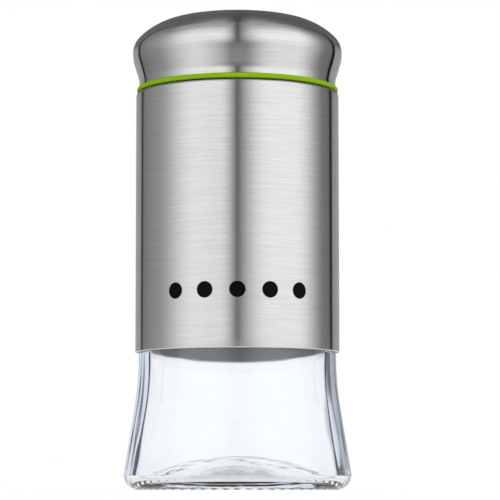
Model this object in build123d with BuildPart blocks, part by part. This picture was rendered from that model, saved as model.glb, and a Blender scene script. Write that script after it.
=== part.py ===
from build123d import *
import os
from math import asin, atan2, cos, degrees, hypot, radians, sin, sqrt, tan

os.makedirs("parts", exist_ok=True)

# Spice shaker: a round flared glass jar in a steel sleeve, with a sifter dial under a screw lid.
# It stands on z = 0 with its axis on Z, and its front faces -Y. Millimetres and degrees.

# Glass jar
jar_radius = 25.1  # straight body inside the sleeve
jar_wall = 3.2
foot_radius = 28.9  # widest point of the flared foot
foot_round = 3.6
flare_height = 27.1  # where the lines of the straight body and the flared foot cross
flare_radius = 87.0  # bend between straight body and flared foot
bearing_width = 1.3
heel_width = 1.0  # step from the bearing ring up to the hollow under the foot
heel_height = 0.5
punt_height = 5.8  # hollow under the foot, at the axis
floor_rim = 1.8  # height of the inner floor at its edge
floor_crown = 8.4  # height of the inner floor at the axis
floor_round = 1.0
corner_share = 0.9  # most of the straight inner wall that the floor's round may take
shoulder_height = 100.7
shoulder_width = 5.1
shoulder_round = 2.2
shoulder_thickness = 4.2
neck_wall = 3.0
neck_height = 10.9
bore_round = 1.6
lip_round = 0.8

# Two-start thread of the neck and the liner
thread_starts = 2
thread_lead = 8.0
neck_bead = 1.0
liner_bead = 0.9
thread_start = 3.4  # lower end of the neck's ridges above the shoulder
thread_end = 2.0  # upper end of the neck's ridges below the rim
thread_clearance = 0.4  # ridge crest to the wall it faces
thread_play = 0.2  # between the ridges of the closed lid

# Steel sleeve and the glue that holds it
sleeve_wall = 0.5
sleeve_gap = 0.4
sleeve_foot_gap = 0.5  # lower edge above the end of the jar's flare
sleeve_round = 0.75
sleeve_mouth_clearance = 0.6  # turned-in edge to the neck's ridges
glue_height = 5.0
glue_inset = 8.0  # glue band to each end of the sleeve

# Sifter plug in the neck
fit_clearance = 0.05
running_clearance = 0.08
plug_wall = 1.0
plug_depth = 6.0
plate_thickness = 1.4
flange_thickness = 1.0
flange_inset = 0.8  # flange edge to the outside of the neck
station_angle = 80.0  # from the closed window to the sprinkle and pour stations
sprinkle_diameter = 2.0
sprinkle_ring = 3.0
sprinkle_count = 6
pour_edge = 0.7  # pour hole to the window above it
stop_width = 1.1
stop_angle = 8.0

# Selector dial and its rivet
dial_gap = 0.2
dial_thickness = 1.2
dial_inset = 0.65  # dial edge to the plug's outside
window_edge = 1.6  # window to the dial's rim
window_rivet_gap = 1.1  # window to the rivet's head
stop_slack = 1.0  # degrees left at each end of the dial's travel
stop_gap = 0.2
tab_thickness = 2.4
tab_height = 3.0
tab_rivet_gap = 1.8  # tab to the rivet's head
tab_inset = 1.0  # tab to the rim notch
tab_round = 0.9
rivet_radius = 1.6
rivet_head_radius = 3.2
rivet_head_height = 0.9
rivet_tail_radius = 2.4
rivet_tail_height = 0.8

# Lid liner, seal and ring
liner_wall = 1.6
liner_flange_width = 1.65
liner_flange_height = 1.4
web_thickness = 1.2
roof_clearance = 1.4  # underside of the roof to the dial's tab
roof_thickness = 0.9
roof_wall = 1.0
roof_round = 1.8
seal_gap = 0.05
seal_thickness = 0.95
seal_width = 1.8
seal_inset = 0.4  # seal to the neck's bore, seen from above
seal_side_gap = 0.2
seal_rib_width = 0.8
seal_rib_depth = 0.5
ring_gap = 0.3  # ring and liner to the sleeve's top edge
ring_height = 1.1
ring_overhang = 0.63  # ring outside past the lid's waist
ring_seat_depth = 0.35
ring_round = 0.3

# Lid shell, from its lower edge to the top
shell_wall = 0.5
waist_height = 1.1
lid_flare = 17.0
hollow_radius = 6.0
dome_gap = 0.85  # lower end of the dome above the liner's roof
belly_radius = 11.0
rim_radius = 5.2
rim_arc = 45.0
crown_radius = 17.4
crown_arc = 33.0
shell_edge_round = 0.2

# Heights and radii that follow from these
rim_height = shoulder_height + neck_height
neck_radius = jar_radius - shoulder_width
neck_bore = neck_radius - neck_wall
sleeve_inner = jar_radius + sleeve_gap
sleeve_outer = sleeve_inner + sleeve_wall
sleeve_top = shoulder_height + sleeve_wall
plate_top = rim_height + flange_thickness
plate_bottom = plate_top - plate_thickness
plug_radius = neck_bore - fit_clearance
dial_bottom = plate_top + dial_gap
dial_top = dial_bottom + dial_thickness
dial_radius = plug_radius - dial_inset
notch_radius = dial_radius - stop_width - stop_gap
window_inner = rivet_head_radius + window_rivet_gap
window_diameter = dial_radius - window_edge - window_inner
hole_circle = window_inner + window_diameter / 2
pour_diameter = window_diameter - 2 * pour_edge
tab_inner = rivet_head_radius + tab_rivet_gap
tab_outer = notch_radius - tab_inset
tab_top = dial_top + tab_height
liner_bore = neck_radius + neck_bead + thread_clearance
liner_outer = liner_bore + liner_wall
liner_flange = liner_outer + liner_flange_width
ring_bottom = sleeve_top + ring_gap
ring_top = ring_bottom + ring_height
ring_seat = liner_flange - ring_seat_depth
seal_bottom = plate_top + seal_gap
web_bottom = seal_bottom + seal_thickness
seal_inner = neck_bore + seal_inset
seal_outer = seal_inner + seal_width
roof_bottom = tab_top + roof_clearance
roof_top = roof_bottom + roof_thickness
roof_radius = neck_bore - fit_clearance
waist_radius = liner_flange + fit_clearance + shell_wall
ring_radius = waist_radius + ring_overhang
thread_rise = neck_height - thread_start - thread_end


def thread_ridge(radius, bead, lower_end):
    # One round-backed ridge that climbs the wall of the given radius and ends in half balls.
    with BuildPart() as ridge:
        with BuildLine() as path:
            Helix(thread_lead, thread_rise, radius, center=(0, 0, lower_end))
        with BuildSketch(Plane(origin=path.line @ 0, z_dir=path.line % 0)):
            Circle(bead)
        sweep(path=path.line, is_frenet=True)
        with Locations(path.line @ 0, path.line @ 1):
            Sphere(bead)
    return ridge.part


def lid_section(inset, lower_end):
    # Half section of the lid's outside, moved inwards by inset: flank, rim, crown and dome, to the axis.
    with BuildSketch(Plane.XZ) as section:
        with BuildLine():
            edge = (waist_radius - inset, lower_end)
            waist = Line(edge, (waist_radius - inset, ring_top + waist_height))
            hollow = JernArc(waist @ 1, waist % 1, hollow_radius + inset, -lid_flare)
            slope = PolarLine(hollow @ 1, slope_length, 90 - lid_flare)
            belly = JernArc(slope @ 1, slope % 1, belly_radius - inset, lid_flare)
            rim = JernArc(belly @ 1, belly % 1, rim_radius - inset, rim_arc)
            crown = JernArc(rim @ 1, rim % 1, crown_radius - inset, crown_arc)
            dome_arc = 90 - rim_arc - crown_arc
            dome_radius = (crown @ 1).X / sin(radians(dome_arc))
            dome = JernArc(crown @ 1, crown % 1, dome_radius, dome_arc)
            Polyline(dome @ 1, (0, lower_end), edge)
        make_face()
    return section.sketch


def ring_section(inner, outer, bottom, top):
    # Half section of a plain ring, drawn into the sketch that is open.
    with Locations((inner, bottom)):
        Rectangle(outer - inner, top - bottom, align=(Align.MIN, Align.MIN))


# The lid's slope is as long as it needs to bring the dome over the liner's roof
flank_rise = (hollow_radius + belly_radius) * sin(radians(lid_flare))
rim_rise = rim_radius * sin(radians(rim_arc))
crown_rise = crown_radius * (sin(radians(rim_arc + crown_arc)) - sin(radians(rim_arc)))
lid_rise = roof_top + dome_gap - ring_top - waist_height
slope_length = (lid_rise - flank_rise - rim_rise - crown_rise) / cos(radians(lid_flare))

neck_ridge = thread_ridge(neck_radius, neck_bead, shoulder_height + thread_start)
bead_reach = neck_bead + liner_bead + thread_play
thread_drop = sqrt(bead_reach**2 - (liner_bore - neck_radius) ** 2)
liner_ridge = thread_ridge(liner_bore, liner_bead, shoulder_height + thread_start - thread_drop)

# Glass jar: the flare's slope, in radians, is the line from the crossing that touches the foot's round,
# and the inner wall runs beside it
foot_centre = foot_radius - foot_round
bearing_inner = foot_centre - bearing_width
foot_run = foot_centre - jar_radius
flare_run = flare_height - foot_round
slope = atan2(foot_run, flare_run) + asin(foot_round / hypot(foot_run, flare_run))
flare_reach = flare_radius * tan(abs(slope) / 2)
flare_start = (jar_radius + flare_reach * sin(slope), flare_height - flare_reach * cos(slope))
flare_top = flare_height + flare_reach
inner_radius = jar_radius - jar_wall
inner_flare = flare_radius + jar_wall
inner_reach = inner_flare * tan(abs(slope) / 2)
inner_height = flare_height - jar_wall * tan(slope / 2)
inner_start = (inner_radius + inner_reach * sin(slope), inner_height - inner_reach * cos(slope))
floor_radius = inner_radius + (inner_height - floor_rim) * tan(slope)
wall_run = (inner_height - floor_rim) / cos(slope) - inner_reach
floor_fall = 2 * atan2(floor_crown - floor_rim, floor_radius)
corner_room = wall_run * tan((radians(90) - slope - floor_fall) / 2)
floor_corner = min(floor_round, corner_share * corner_room)
inner_shoulder = shoulder_height - shoulder_thickness
inner_shoulder_round = inner_radius - neck_bore - bore_round

# The outside is turned first, then the ridges are added, then the hollow is cut
with BuildPart() as glass_jar:
    with BuildSketch(Plane.XZ):
        with BuildLine():
            punt = TangentArc((0, punt_height), (bearing_inner - heel_width, heel_height), tangent=(1, 0))
            heel = Line(punt @ 1, (bearing_inner, 0))
            bearing = Line(heel @ 1, (foot_centre, 0))
            foot = JernArc(bearing @ 1, bearing % 1, foot_round, 90 + degrees(slope))
            cone = Line(foot @ 1, flare_start)
            flare = JernArc(cone @ 1, cone % 1, flare_radius, -degrees(slope))
            body = Line(flare @ 1, (jar_radius, shoulder_height - shoulder_round))
            turn = JernArc(body @ 1, body % 1, shoulder_round, 90)
            ledge = Line(turn @ 1, (neck_radius, shoulder_height))
            neck = Line(ledge @ 1, (neck_radius, rim_height - lip_round))
            lip = JernArc(neck @ 1, neck % 1, lip_round, 90)
            Polyline(lip @ 1, (0, rim_height), punt @ 0)
        make_face()
    revolve(axis=Axis.Z)
    with PolarLocations(0, thread_starts):
        add(neck_ridge)
    with BuildSketch(Plane.XZ) as hollow_section:
        with BuildLine():
            floor = TangentArc((0, floor_crown), (floor_radius, floor_rim), tangent=(1, 0))
            wall = Line(floor @ 1, inner_start)
            bend = JernArc(wall @ 1, wall % 1, inner_flare, -degrees(slope))
            body = Line(bend @ 1, (inner_radius, inner_shoulder - inner_shoulder_round))
            turn = JernArc(body @ 1, body % 1, inner_shoulder_round, 90)
            throat = JernArc(turn @ 1, turn % 1, bore_round, -90)
            Polyline(throat @ 1, (neck_bore, rim_height), (0, rim_height), floor @ 0)
        make_face()
        fillet(hollow_section.vertices().sort_by(Axis.Y)[0], floor_corner)
    revolve(axis=Axis.Z, mode=Mode.SUBTRACT)
glass_jar.part.label = "glass_jar"
export_step(glass_jar.part, "parts/glass_jar.step")

# Steel sleeve: a thin tube whose top edge is turned in onto the jar's shoulder
sleeve_bottom = flare_top + sleeve_foot_gap
sleeve_mouth = neck_radius + neck_bead + sleeve_mouth_clearance
with BuildPart() as steel_sleeve:
    with BuildSketch(Plane.XZ) as sleeve_section:
        ring_section(sleeve_inner, sleeve_outer, sleeve_bottom, sleeve_top)
        ring_section(sleeve_mouth, sleeve_outer, shoulder_height, sleeve_top)
        top_corner = sleeve_section.vertices().group_by(Axis.Y)[-1].sort_by(Axis.X)[-1]
        fillet(top_corner, sleeve_round)
    revolve(axis=Axis.Z)
steel_sleeve.part.label = "steel_sleeve"
export_step(steel_sleeve.part, "parts/steel_sleeve.step")

# Two bands of clear glue between the jar and the sleeve
lower_band = sleeve_bottom + glue_inset
upper_band = shoulder_height - shoulder_round - glue_inset
with BuildPart() as sleeve_glue_bands:
    with BuildSketch(Plane.XZ):
        ring_section(jar_radius, sleeve_inner, lower_band, lower_band + glue_height)
        ring_section(jar_radius, sleeve_inner, upper_band - glue_height, upper_band)
    revolve(axis=Axis.Z)
sleeve_glue_bands.part.label = "sleeve_glue_bands"
export_step(sleeve_glue_bands.part, "parts/sleeve_glue_bands.step")

# Sifter plug: hollow plug with a flange on the jar's rim and two stations of holes in its plate
sprinkle_station = 90 + station_angle
pour_station = 90 - station_angle
with BuildPart() as sifter_insert:
    with BuildSketch(Plane.XZ):
        ring_section(plug_radius - plug_wall, plug_radius, rim_height - plug_depth, plate_top)
        ring_section(0, plug_radius, plate_bottom, plate_top)
        ring_section(0, neck_radius - flange_inset, rim_height, plate_top)
    revolve(axis=Axis.Z)
    with BuildSketch(Plane.XY.offset(plate_top)):
        Circle(dial_radius)
        Circle(dial_radius - stop_width, mode=Mode.SUBTRACT)
        with BuildLine():
            reach = 2 * dial_radius
            first = PolarLine((0, 0), reach, 270 - stop_angle / 2)
            last = PolarLine((0, 0), reach, 270 + stop_angle / 2)
            Line(first @ 1, last @ 1)
        make_face(mode=Mode.INTERSECT)
    extrude(amount=dial_gap + dial_thickness)
    with Locations((0, 0, plate_top)):
        Hole(rivet_radius + running_clearance, plate_thickness)
    with PolarLocations(hole_circle, 1, start_angle=pour_station):
        with Locations((0, 0, plate_top)):
            Hole(pour_diameter / 2, plate_thickness)
    with PolarLocations(hole_circle, 1, start_angle=sprinkle_station):
        with Locations((0, 0, plate_top)):
            Hole(sprinkle_diameter / 2, plate_thickness)
            with PolarLocations(sprinkle_ring, sprinkle_count):
                Hole(sprinkle_diameter / 2, plate_thickness)
sifter_insert.part.label = "sifter_insert"
export_step(sifter_insert.part, "parts/sifter_insert.step")

# Selector dial: disc with one window, a rim notch that runs against the stop, and a thumb tab
notch_arc = 2 * station_angle + stop_angle + 2 * stop_slack
with BuildPart() as selector_dial:
    with BuildSketch(Plane.XY.offset(dial_bottom)):
        Circle(dial_radius)
        with BuildLine():
            notch_start = 270 - notch_arc / 2
            outer = CenterArc((0, 0), 2 * dial_radius, notch_start, notch_arc)
            inner = CenterArc((0, 0), notch_radius, notch_start, notch_arc)
            Line(outer @ 0, inner @ 0)
            Line(outer @ 1, inner @ 1)
        make_face(mode=Mode.SUBTRACT)
        with Locations((0, hole_circle)):
            Circle(window_diameter / 2, mode=Mode.SUBTRACT)
        Circle(rivet_radius, mode=Mode.SUBTRACT)
    extrude(amount=dial_thickness)
    with BuildSketch(Plane.XY.offset(dial_top)):
        with Locations((0, -(tab_inner + tab_outer) / 2)):
            Rectangle(tab_thickness, tab_outer - tab_inner)
    extrude(amount=tab_height)
    fillet(selector_dial.edges().group_by(Axis.Z)[-1], tab_round)
selector_dial.part.label = "selector_dial"
export_step(selector_dial.part, "parts/selector_dial.step")

# Rivet: pin through dial and plate, headed on both sides
tail_top = plate_bottom - dial_gap
with BuildPart() as dial_rivet:
    with BuildSketch(Plane.XZ):
        ring_section(0, rivet_radius, tail_top, dial_top)
        ring_section(0, rivet_head_radius, dial_top, dial_top + rivet_head_height)
        ring_section(0, rivet_tail_radius, tail_top - rivet_tail_height, tail_top)
    revolve(axis=Axis.Z)
    fillet(dial_rivet.edges().group_by(Axis.Z)[-1], rivet_head_height / 2)
dial_rivet.part.label = "dial_rivet"
export_step(dial_rivet.part, "parts/dial_rivet.step")

# Lid liner: threaded skirt with a flange for the shell, a seat for the ring, and a raised roof
seal_rib_inner = seal_outer + seal_side_gap
seal_rib_outer = seal_rib_inner + seal_rib_width
with BuildPart() as lid_liner:
    with BuildSketch(Plane.XZ):
        ring_section(liner_bore, liner_outer, ring_bottom, web_bottom + web_thickness)
        ring_section(liner_bore, ring_seat, ring_bottom, ring_top)
        ring_section(liner_bore, liner_flange, ring_top, ring_top + liner_flange_height)
        ring_section(roof_radius, liner_outer, web_bottom, web_bottom + web_thickness)
        ring_section(seal_rib_inner, seal_rib_outer, web_bottom - seal_rib_depth, web_bottom)
        ring_section(roof_radius, roof_radius + roof_wall, web_bottom, roof_top)
        ring_section(0, roof_radius + roof_wall, roof_bottom, roof_top)
    revolve(axis=Axis.Z)
    fillet(lid_liner.edges().group_by(Axis.Z)[-1], roof_round)
    with PolarLocations(0, thread_starts):
        add(liner_ridge)
lid_liner.part.label = "lid_liner"
export_step(lid_liner.part, "parts/lid_liner.step")

# Seal: flat soft washer under the liner's web
with BuildPart() as lid_seal:
    with BuildSketch(Plane.XZ):
        ring_section(seal_inner, seal_outer, seal_bottom, web_bottom)
    revolve(axis=Axis.Z)
lid_seal.part.label = "lid_seal"
export_step(lid_seal.part, "parts/lid_seal.step")

# Ring: soft band stretched over the liner's seat, standing proud of the lid's waist
with BuildPart() as accent_ring:
    with BuildSketch(Plane.XZ) as band_section:
        ring_section(ring_seat, ring_radius, ring_bottom, ring_top)
        fillet(band_section.vertices().group_by(Axis.X)[-1], ring_round)
    revolve(axis=Axis.Z)
accent_ring.part.label = "accent_ring"
export_step(accent_ring.part, "parts/accent_ring.step")

# Lid shell: thin drawn dome, open below
with BuildPart() as lid_shell:
    add(lid_section(0, ring_top))
    revolve(axis=Axis.Z)
    add(lid_section(shell_wall, ring_top))
    revolve(axis=Axis.Z, mode=Mode.SUBTRACT)
    fillet(lid_shell.edges().group_by(Axis.Z)[0].sort_by(SortBy.RADIUS)[-1], shell_edge_round)
lid_shell.part.label = "lid_shell"
export_step(lid_shell.part, "parts/lid_shell.step")
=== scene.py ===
import bpy
import bmesh
import math
from mathutils import Matrix, Vector, noise


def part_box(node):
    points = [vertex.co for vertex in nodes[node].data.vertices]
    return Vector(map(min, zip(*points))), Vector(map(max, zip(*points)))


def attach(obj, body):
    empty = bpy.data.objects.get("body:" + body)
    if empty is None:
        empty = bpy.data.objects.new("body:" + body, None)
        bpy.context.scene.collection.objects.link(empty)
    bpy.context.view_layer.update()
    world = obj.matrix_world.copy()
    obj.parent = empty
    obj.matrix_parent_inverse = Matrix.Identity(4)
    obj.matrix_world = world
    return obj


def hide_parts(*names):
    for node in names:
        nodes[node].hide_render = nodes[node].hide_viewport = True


# Spice shaker: a pressed glass jar in a brushed steel sleeve, with a steel screw lid on a lime ring.
# The dictionaries hold millimetres and degrees, and the scene is in metres.
mm = 0.001
mergeGap = 0.0001  # points nearer than this are one point
onSurface = 0.001  # a point this near a surface lies on it
frontAngle = 270  # the way to the camera, counted from +X
noiseRange = (0.3, 0.7)  # nearly all of a noise texture's values lie between these
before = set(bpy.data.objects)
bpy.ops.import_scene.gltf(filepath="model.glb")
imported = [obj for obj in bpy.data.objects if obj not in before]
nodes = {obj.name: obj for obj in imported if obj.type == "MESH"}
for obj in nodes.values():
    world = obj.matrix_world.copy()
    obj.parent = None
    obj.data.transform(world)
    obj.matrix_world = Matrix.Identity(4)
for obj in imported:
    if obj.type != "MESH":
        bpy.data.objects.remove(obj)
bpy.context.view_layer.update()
print("frame loaded with", len(nodes), "nodes")


def toLinear(hexColour):
    channels = [int(hexColour[i:i + 2], 16) / 255 for i in (1, 3, 5)]
    linear = [c / 12.92 if c <= 0.04045 else ((c + 0.055) / 1.055) ** 2.4 for c in channels]
    return (*linear, 1.0)


def addNode(tree, kind, links=None, **settings):
    # each link's source is another node's socket, or the plain value of that input
    node = tree.nodes.new(kind)
    for setting, value in settings.items():
        setattr(node, setting, value)
    for target, source in (links or {}).items():
        if isinstance(source, bpy.types.NodeSocket):
            tree.links.new(source, node.inputs[target])
        else:
            node.inputs[target].default_value = source
    return node


def newMaterial(name):
    material = bpy.data.materials.new(name)
    material.use_nodes = True
    tree = material.node_tree
    return material, tree, tree.nodes["Principled BSDF"]


# Profile pen: a wire in the XZ plane, drawn by straight runs and bends, and then turned on the lathe

def startWire(r, z):
    bm = bmesh.new()
    return bm, bmesh.ops.create_vert(bm, co=(r, 0, z))["vert"][0]


def runTo(bm, vert, r, z, steps=1):
    move = (Vector((r, 0, z)) - vert.co) / steps
    for _ in range(steps):
        vert = bmesh.ops.extrude_vert_indiv(bm, verts=[vert])["verts"][0]
        bmesh.ops.translate(bm, verts=[vert], vec=move)
    return vert


def run(bm, vert, heading, length, steps=1):
    way = math.radians(heading)
    return runTo(bm, vert, vert.co.x + length * math.cos(way), vert.co.z + length * math.sin(way), steps)


def bend(bm, vert, heading, radius, turn, steps):
    # an arc that starts along heading and turns left by turn, or right where turn is negative
    way = math.radians(heading)
    side = math.copysign(radius, turn)
    centre = vert.co + Vector((-math.sin(way), 0, math.cos(way))) * side
    arc = bmesh.ops.spin(bm, geom=[vert], cent=centre, axis=(0, 1, 0), angle=-math.radians(turn), steps=steps)
    return [v for v in arc["geom_last"] if isinstance(v, bmesh.types.BMVert)][0]


def lathe(bm, steps, sectors=8):
    # one sector is spun from the wire and then copied round, which is far quicker than one full spin
    sector = 2 * math.pi / sectors
    wire = bm.verts[:] + bm.edges[:]
    bmesh.ops.spin(bm, geom=wire, cent=(0, 0, 0), axis=(0, 0, 1), angle=sector, steps=steps // sectors)
    spun = bm.verts[:] + bm.edges[:] + bm.faces[:]
    bmesh.ops.spin(bm, geom=spun, cent=(0, 0, 0), axis=(0, 0, 1), angle=2 * math.pi - sector,
                   steps=sectors - 1, use_duplicate=True)
    bmesh.ops.remove_doubles(bm, verts=bm.verts, dist=mergeGap)
    bmesh.ops.recalc_face_normals(bm, faces=bm.faces)


# Plate maker: fills the flat outlines drawn so far, raises them, and rounds the edges in a few steps

def makePlate(bm, thickness, edgeRound, roundSteps=3):
    filled = bmesh.ops.triangle_fill(bm, edges=bm.edges[:], use_beauty=True, normal=(0, 0, 1))
    lower = [f for f in filled["geom"] if isinstance(f, bmesh.types.BMFace)]
    raised = bmesh.ops.extrude_face_region(bm, geom=lower, use_keep_orig=True)
    upper = [f for f in raised["geom"] if isinstance(f, bmesh.types.BMFace)]
    risen = [v for v in raised["geom"] if isinstance(v, bmesh.types.BMVert)]
    bmesh.ops.translate(bm, verts=risen, vec=(0, 0, thickness - 2 * edgeRound))
    bmesh.ops.recalc_face_normals(bm, faces=bm.faces)
    turns = [math.radians(90 * step / roundSteps) for step in range(roundSteps + 1)]
    for side in (lower, upper):
        for turn, nextTurn in zip(turns, turns[1:]):
            bmesh.ops.inset_region(bm, faces=side, use_boundary=True, use_even_offset=True,
                                   thickness=edgeRound * (math.cos(turn) - math.cos(nextTurn)),
                                   depth=edgeRound * (math.sin(nextTurn) - math.sin(turn)))


def drawHole(bm, angle, reach, z, radius, steps):
    way = math.radians(angle)
    centre = Matrix.Translation((reach * math.cos(way), reach * math.sin(way), z))
    bmesh.ops.create_circle(bm, segments=steps, radius=radius, matrix=centre)


def joinInto(bm, extra):
    # moves one bmesh's shells into another
    mesh = bpy.data.meshes.new("joined")
    extra.to_mesh(mesh)
    extra.free()
    bm.from_mesh(mesh)
    bpy.data.meshes.remove(mesh)


def finishPiece(bm, name, material, body, replaced, sharpAngle=40):
    bmesh.ops.scale(bm, vec=(mm, mm, mm), verts=bm.verts)
    mesh = bpy.data.meshes.new(name)
    bm.to_mesh(mesh)
    bm.free()
    mesh.shade_smooth()
    mesh.set_sharp_from_angle(angle=math.radians(sharpAngle))
    mesh.materials.append(material)
    piece = bpy.data.objects.new(name, mesh)
    bpy.context.scene.collection.objects.link(piece)
    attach(piece, body)
    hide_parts(replaced)
    print(name, "made:", len(mesh.polygons), "faces")


# Stainless steel sheet, brushed around the axis: long fine lines run round it, and what it mirrors
# stays narrow along the lines and is drawn out far across them.
steelLook = {
    "colour": "#d1d1d1",
    "lineColour": "#c7c7c7",
    "lineWidth": 0.15,  # a real line is finer; this is as fine as shows in the render
    "lineLength": 10,
    "bandWidth": 2.4,  # slow changes between passes of the brush
    "bandShare": 0.08,
    "roughness": 0.2,
    "roughnessSpread": 0.03,
    "anisotropy": 0.97,
    "layTurn": 0.25,  # a quarter turn draws what it mirrors out across the lines
    "lineDepth": 0.003,
}
# the drawn lid is a little brighter than the sleeve
lidFinish = {"roughness": 0.155, "roughnessSpread": 0.025}


def brushedSteel(name, look, ink=None):
    material, tree, shader = newMaterial(name)
    coords = addNode(tree, "ShaderNodeTexCoord")
    place = addNode(tree, "ShaderNodeSeparateXYZ", {0: coords.outputs["Object"]})
    flat = addNode(tree, "ShaderNodeCombineXYZ", {0: place.outputs[0], 1: place.outputs[1]})
    radius = addNode(tree, "ShaderNodeVectorMath", {0: flat.outputs[0]}, operation="LENGTH")
    across = addNode(tree, "ShaderNodeMath", {0: place.outputs[2], 1: radius.outputs["Value"]},
                     operation="SUBTRACT")
    around = addNode(tree, "ShaderNodeCombineXYZ",
                     {0: place.outputs[0], 1: place.outputs[1], 2: across.outputs[0]})
    perLength = 1 / (look["lineLength"] * mm)
    lineScale = (perLength, perLength, 1 / (look["lineWidth"] * mm))
    bandScale = (perLength, perLength, 1 / (look["bandWidth"] * mm))
    lineSpace = addNode(tree, "ShaderNodeVectorMath", {0: around.outputs[0], 1: lineScale},
                        operation="MULTIPLY")
    bandSpace = addNode(tree, "ShaderNodeVectorMath", {0: around.outputs[0], 1: bandScale},
                        operation="MULTIPLY")
    lines = addNode(tree, "ShaderNodeTexNoise",
                    {"Vector": lineSpace.outputs[0], "Scale": 1.0, "Detail": 1.0, "Roughness": 0.6})
    bands = addNode(tree, "ShaderNodeTexNoise",
                    {"Vector": bandSpace.outputs[0], "Scale": 1.0, "Detail": 2.0, "Roughness": 0.5})
    both = addNode(tree, "ShaderNodeMix", {0: look["bandShare"], 2: lines.outputs[0], 3: bands.outputs[0]})
    spread = addNode(tree, "ShaderNodeMapRange", {0: both.outputs[0], 1: noiseRange[0], 2: noiseRange[1]})
    colour = addNode(tree, "ShaderNodeMix",
                     {0: spread.outputs[0], 6: toLinear(look["lineColour"]), 7: toLinear(look["colour"])},
                     data_type="RGBA")
    rough = addNode(tree, "ShaderNodeMapRange",
                    {0: spread.outputs[0], 3: look["roughness"] + look["roughnessSpread"],
                     4: look["roughness"] - look["roughnessSpread"]})
    grooves = addNode(tree, "ShaderNodeBump",
                      {"Height": lines.outputs[0], "Strength": 0.5, "Distance": look["lineDepth"] * mm})
    lay = addNode(tree, "ShaderNodeTangent", direction_type="RADIAL", axis="Z")
    colourOut, roughOut = colour.outputs[2], rough.outputs[0]
    if ink:
        colourOut, roughOut, metalOut = printedDots(tree, place, ink, colourOut, roughOut)
        tree.links.new(metalOut, shader.inputs["Metallic"])
        shader.inputs["Specular IOR Level"].default_value = ink["gloss"]
    else:
        shader.inputs["Metallic"].default_value = 1.0
    tree.links.new(colourOut, shader.inputs["Base Color"])
    tree.links.new(roughOut, shader.inputs["Roughness"])
    tree.links.new(grooves.outputs[0], shader.inputs["Normal"])
    tree.links.new(lay.outputs[0], shader.inputs["Tangent"])
    shader.inputs["Anisotropic"].default_value = look["anisotropy"]
    shader.inputs["Anisotropic Rotation"].default_value = look["layTurn"]
    return material


# Screen-printed black ink: a plain row of round dots on the sleeve's front, matt beside the steel
dotPrint = {
    "colour": "#080808",
    "roughness": 0.6,
    "gloss": 0.1,  # the steel around the ink doesn't use this
    "diameter": 4.2,
    "pitch": 8.2,
    "count": 5,
    "height": 49.0,
    "edge": 0.12,
}


def printedDots(tree, place, ink, colourIn, roughIn):
    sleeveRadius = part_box("steel_sleeve")[1].x
    front = addNode(tree, "ShaderNodeMath", {0: place.outputs[1], 1: -1.0}, operation="MULTIPLY")
    angle = addNode(tree, "ShaderNodeMath", {0: place.outputs[0], 1: front.outputs[0]}, operation="ARCTAN2")
    along = addNode(tree, "ShaderNodeMath", {0: angle.outputs[0], 1: sleeveRadius / (ink["pitch"] * mm)},
                    operation="MULTIPLY")
    nearest = addNode(tree, "ShaderNodeMath", {0: along.outputs[0]}, operation="ROUND")
    lastDot = (ink["count"] - 1) / 2
    dot = addNode(tree, "ShaderNodeClamp", {0: nearest.outputs[0], 1: -lastDot, 2: lastDot})
    besideDot = addNode(tree, "ShaderNodeMath", {0: along.outputs[0], 1: dot.outputs[0]},
                        operation="SUBTRACT")
    beside = addNode(tree, "ShaderNodeMath", {0: besideDot.outputs[0], 1: ink["pitch"] * mm},
                     operation="MULTIPLY")
    above = addNode(tree, "ShaderNodeMath", {0: place.outputs[2], 1: ink["height"] * mm},
                    operation="SUBTRACT")
    offset = addNode(tree, "ShaderNodeCombineXYZ", {0: beside.outputs[0], 1: above.outputs[0]})
    distance = addNode(tree, "ShaderNodeVectorMath", {0: offset.outputs[0]}, operation="LENGTH")
    dotRadius = ink["diameter"] / 2
    mask = addNode(tree, "ShaderNodeMapRange",
                   {0: distance.outputs["Value"], 1: (dotRadius - ink["edge"]) * mm, 2: dotRadius * mm,
                    3: 1.0, 4: 0.0})
    colour = addNode(tree, "ShaderNodeMix", {0: mask.outputs[0], 6: colourIn, 7: toLinear(ink["colour"])},
                     data_type="RGBA")
    rough = addNode(tree, "ShaderNodeMix", {0: mask.outputs[0], 2: roughIn, 3: ink["roughness"]})
    metal = addNode(tree, "ShaderNodeMath", {0: 1.0, 1: mask.outputs[0]}, operation="SUBTRACT")
    return colour.outputs[2], rough.outputs[0], metal.outputs[0]


# Soda-lime glass, pressed in a mould: clear, a little blue where it is thick, with the slow waves
# that the mould leaves in its walls.
glassLook = {
    "tint": "#ffffff",
    "thickTint": "#fafcff",
    "ior": 1.51,
    "roughness": 0.0,
    "waveWidth": 5,
    "waveLength": 60,
    "waveDepth": 0.12,
    "absorbColour": "#59a9ed",
    "absorbPerMetre": 2,
}


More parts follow.
